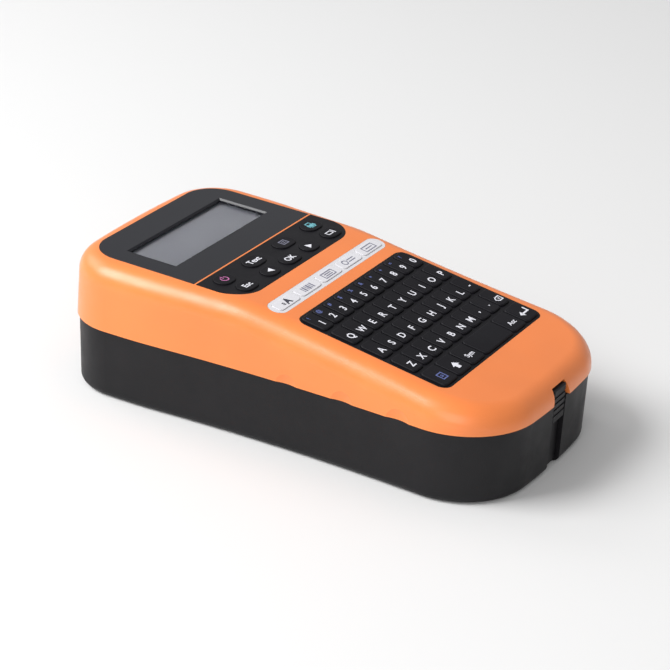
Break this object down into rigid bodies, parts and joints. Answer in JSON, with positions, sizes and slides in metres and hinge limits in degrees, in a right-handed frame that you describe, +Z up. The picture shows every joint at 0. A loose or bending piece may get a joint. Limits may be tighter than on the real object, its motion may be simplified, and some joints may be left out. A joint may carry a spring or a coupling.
{
  "type": "label maker",
  "caption": "Handheld thermal label printer with display, function keys, keyboard, tape cassette drive, cutter lever and battery compartment",
  "frame": {"origin": "middle of the footprint on the surface it lies on, back down", "axes": "+X to the user's right, +Y from the palm end to the display end, +Z up out of the keyboard side"},
  "size_m": [0.109, 0.2069, 0.059],
  "materials": {
    "orange_shell": "satin moulded",
    "black_shell": "fine textured",
    "gloss_panel": "gloss printed",
    "key_panel": "satin",
    "key_rubber": "soft touch",
    "white_panel": "gloss",
    "white_rubber": "soft touch",
    "window": "clear",
    "lcd": "matt display",
    "board": "solder mask",
    "mat_rubber": "silicone",
    "steel": "machined",
    "zinc_screw": "zinc plated",
    "gear_plastic": "acetal",
    "roller_rubber": "ground",
    "head_ceramic": "glazed",
    "heat_sink": "extruded",
    "cassette_plastic": "moulded",
    "tape_white": "film",
    "ribbon_black": "film",
    "spool_green": "moulded",
    "battery_sleeve": "printed",
    "contact_nickel": "nickel plated",
    "working_plastic": "moulded"
  },
  "bodies": {
    "housing": {"batteries": "battery_sleeve", "battery_contacts": "contact_nickel", "case_screws": "zinc_screw", "cassette_case": "cassette_plastic", "contact_mat": "mat_rubber", "dc_inlet": "working_plastic", "display_panel": "gloss_panel", "display_window": "window", "drive_motor": "steel", "front_cover": "orange_shell", "function_panel": "key_panel", "head_heat_sink": "heat_sink", "keyboard_board": "board", "keyboard_panel": "key_panel", "label_tape": "tape_white", "label_type_panel": "white_panel", "lcd_module": "lcd", "lever_pin": "steel", "main_board": "board", "mechanism_plate": "steel", "mechanism_screws": "zinc_screw", "print_head": "head_ceramic", "rear_case": "black_shell"},
    "compartment_cover": {"compartment_cover": "black_shell"},
    "cover_latch": {"cover_latch": "black_shell"},
    "cutter_lever": {"cutter_lever": "black_shell"},
    "blade_carrier": {"blade_holder": "working_plastic", "cutter_blade": "steel"},
    "roller_holder": {"roller_holder": "working_plastic"},
    "platen": {"platen_roller": "roller_rubber", "platen_shaft": "steel", "platen_gear": "gear_plastic"},
    "idler_gear": {"idler_gear": "gear_plastic"},
    "reduction_gear": {"reduction_gear": "gear_plastic"},
    "motor_pinion": {"motor_pinion": "gear_plastic"},
    "ribbon_drive": {"ribbon_spindle": "gear_plastic", "take_up_spool": "spool_green"},
    "tape_spool": {"tape_spool": "tape_white"},
    "ribbon_spool": {"ribbon_spool": "ribbon_black"},
    "key_power": {"key_power": "key_rubber"},
    "key_text": {"key_text": "key_rubber"},
    "key_file": {"key_file": "key_rubber"},
    "key_print": {"key_print": "key_rubber"},
    "key_escape": {"key_escape": "key_rubber"},
    "key_left": {"key_left": "key_rubber"},
    "key_ok": {"key_ok": "key_rubber"},
    "key_right": {"key_right": "key_rubber"},
    "key_feed": {"key_feed": "key_rubber"},
    "label_type_key_1": {"label_type_key_1": "white_rubber"},
    "label_type_key_2": {"label_type_key_2": "white_rubber"},
    "label_type_key_3": {"label_type_key_3": "white_rubber"},
    "label_type_key_4": {"label_type_key_4": "white_rubber"},
    "label_type_key_5": {"label_type_key_5": "white_rubber"},
    "key_row_1": {"key_row_1": "key_rubber"},
    "key_row_2": {"key_row_2": "key_rubber"},
    "key_row_3": {"key_row_3": "key_rubber"},
    "key_row_4": {"key_row_4": "key_rubber"},
    "key_row_5": {"key_row_5": "key_rubber"},
    "space_key": {"space_key": "key_rubber"}
  },
  "joints": [
    {"name": "key_power_press", "type": "slide", "parent": "housing", "child": "key_power", "axis": [0, 0.0192, -0.9998], "range_m": [0, 0.0012], "stiffness_N_per_m": 500},
    {"name": "key_text_press", "type": "slide", "parent": "housing", "child": "key_text", "axis": [0, 0.0192, -0.9998], "range_m": [0, 0.0012], "stiffness_N_per_m": 500},
    {"name": "key_file_press", "type": "slide", "parent": "housing", "child": "key_file", "axis": [0, 0.0192, -0.9998], "range_m": [0, 0.0012], "stiffness_N_per_m": 500},
    {"name": "key_print_press", "type": "slide", "parent": "housing", "child": "key_print", "axis": [0, 0.0192, -0.9998], "range_m": [0, 0.0012], "stiffness_N_per_m": 500},
    {"name": "key_escape_press", "type": "slide", "parent": "housing", "child": "key_escape", "axis": [0, 0.0192, -0.9998], "range_m": [0, 0.0012], "stiffness_N_per_m": 500},
    {"name": "key_left_press", "type": "slide", "parent": "housing", "child": "key_left", "axis": [0, 0.0192, -0.9998], "range_m": [0, 0.0012], "stiffness_N_per_m": 500},
    {"name": "key_ok_press", "type": "slide", "parent": "housing", "child": "key_ok", "axis": [0, 0.0192, -0.9998], "range_m": [0, 0.0012], "stiffness_N_per_m": 500},
    {"name": "key_right_press", "type": "slide", "parent": "housing", "child": "key_right", "axis": [0, 0.0192, -0.9998], "range_m": [0, 0.0012], "stiffness_N_per_m": 500},
    {"name": "key_feed_press", "type": "slide", "parent": "housing", "child": "key_feed", "axis": [0, 0.0192, -0.9998], "range_m": [0, 0.0012], "stiffness_N_per_m": 500},
    {"name": "label_type_key_1_press", "type": "slide", "parent": "housing", "child": "label_type_key_1", "axis": [0, 0.153, -0.9882], "range_m": [0, 0.0012], "stiffness_N_per_m": 500},
    {"name": "label_type_key_2_press", "type": "slide", "parent": "housing", "child": "label_type_key_2", "axis": [0, 0.153, -0.9882], "range_m": [0, 0.0012], "stiffness_N_per_m": 500},
    {"name": "label_type_key_3_press", "type": "slide", "parent": "housing", "child": "label_type_key_3", "axis": [0, 0.153, -0.9882], "range_m": [0, 0.0012], "stiffness_N_per_m": 500},
    {"name": "label_type_key_4_press", "type": "slide", "parent": "housing", "child": "label_type_key_4", "axis": [0, 0.153, -0.9882], "range_m": [0, 0.0012], "stiffness_N_per_m": 500},
    {"name": "label_type_key_5_press", "type": "slide", "parent": "housing", "child": "label_type_key_5", "axis": [0, 0.153, -0.9882], "range_m": [0, 0.0012], "stiffness_N_per_m": 500},
    {"name": "key_row_1_press", "type": "slide", "parent": "housing", "child": "key_row_1", "axis": [0, 0.153, -0.9882], "range_m": [0, 0.0012], "stiffness_N_per_m": 500},
    {"name": "key_row_2_press", "type": "slide", "parent": "housing", "child": "key_row_2", "axis": [0, 0.153, -0.9882], "range_m": [0, 0.0012], "stiffness_N_per_m": 500},
    {"name": "key_row_3_press", "type": "slide", "parent": "housing", "child": "key_row_3", "axis": [0, 0.153, -0.9882], "range_m": [0, 0.0012], "stiffness_N_per_m": 500},
    {"name": "key_row_4_press", "type": "slide", "parent": "housing", "child": "key_row_4", "axis": [0, 0.153, -0.9882], "range_m": [0, 0.0012], "stiffness_N_per_m": 500},
    {"name": "key_row_5_press", "type": "slide", "parent": "housing", "child": "key_row_5", "axis": [0, 0.153, -0.9882], "range_m": [0, 0.0012], "stiffness_N_per_m": 500},
    {"name": "space_key_press", "type": "slide", "parent": "housing", "child": "space_key", "axis": [0, 0.153, -0.9882], "range_m": [0, 0.0012], "stiffness_N_per_m": 500},
    {"name": "cover_lift", "type": "slide", "parent": "housing", "child": "compartment_cover", "axis": [0, 0, -1], "range_m": [0, 0.03]},
    {"name": "latch_press", "type": "slide", "parent": "compartment_cover", "child": "cover_latch", "axis": [0, 1, 0], "range_m": [0, 0.0015], "stiffness_N_per_m": 1500},
    {"name": "lever_squeeze", "type": "hinge", "parent": "housing", "child": "cutter_lever", "pos_m": [0.0481, 0.073, 0.013], "axis": [0, 0, 1], "range_deg": [0, 14], "stiffness_Nm_per_rad": 0.08},
    {"name": "blade_stroke", "type": "slide", "parent": "housing", "child": "blade_carrier", "axis": [-1, 0, 0], "range_m": [0, 0.0042]},
    {"name": "holder_release", "type": "hinge", "parent": "housing", "child": "roller_holder", "pos_m": [0.0464, 0.038, 0.012], "axis": [0, 0, -1], "range_deg": [0, 5], "stiffness_Nm_per_rad": 0.08, "springref_deg": -1.15},
    {"name": "platen_turn", "type": "hinge", "parent": "roller_holder", "child": "platen", "pos_m": [0.0406, 0.062, 0.012], "axis": [0, 0, -1], "continuous": true},
    {"name": "idler_turn", "type": "hinge", "parent": "housing", "child": "idler_gear", "pos_m": [0.02432, 0.05183, 0.0255], "axis": [0, 0, -1], "continuous": true},
    {"name": "reduction_turn", "type": "hinge", "parent": "housing", "child": "reduction_gear", "pos_m": [0.00932, 0.05613, 0.0265], "axis": [0, 0, -1], "continuous": true},
    {"name": "pinion_turn", "type": "hinge", "parent": "housing", "child": "motor_pinion", "pos_m": [-0.00666, 0.06132, 0.0276], "axis": [0, 0, -1], "continuous": true},
    {"name": "ribbon_drive_turn", "type": "hinge", "parent": "housing", "child": "ribbon_drive", "pos_m": [0.02511, 0.02904, 0.015], "axis": [0, 0, -1], "continuous": true},
    {"name": "tape_spool_turn", "type": "hinge", "parent": "housing", "child": "tape_spool", "pos_m": [0.0035, 0.06, 0.012], "axis": [0, 0, -1], "continuous": true},
    {"name": "ribbon_spool_turn", "type": "hinge", "parent": "housing", "child": "ribbon_spool", "pos_m": [0.0015, 0.023, 0.012], "axis": [0, 0, -1], "continuous": true}
  ],
  "couplings": [
    {"joint": "blade_stroke", "follows": "lever_squeeze", "m_per_rad": 0.016},
    {"joint": "idler_turn", "follows": "platen_turn", "ratio": -0.6},
    {"joint": "reduction_turn", "follows": "platen_turn", "ratio": 2},
    {"joint": "pinion_turn", "follows": "platen_turn", "ratio": -7.3333},
    {"joint": "ribbon_drive_turn", "follows": "platen_turn", "ratio": 0.66667},
    {"joint": "tape_spool_turn", "follows": "platen_turn", "ratio": -0.25714},
    {"joint": "ribbon_spool_turn", "follows": "platen_turn", "ratio": -0.375}
  ]
}
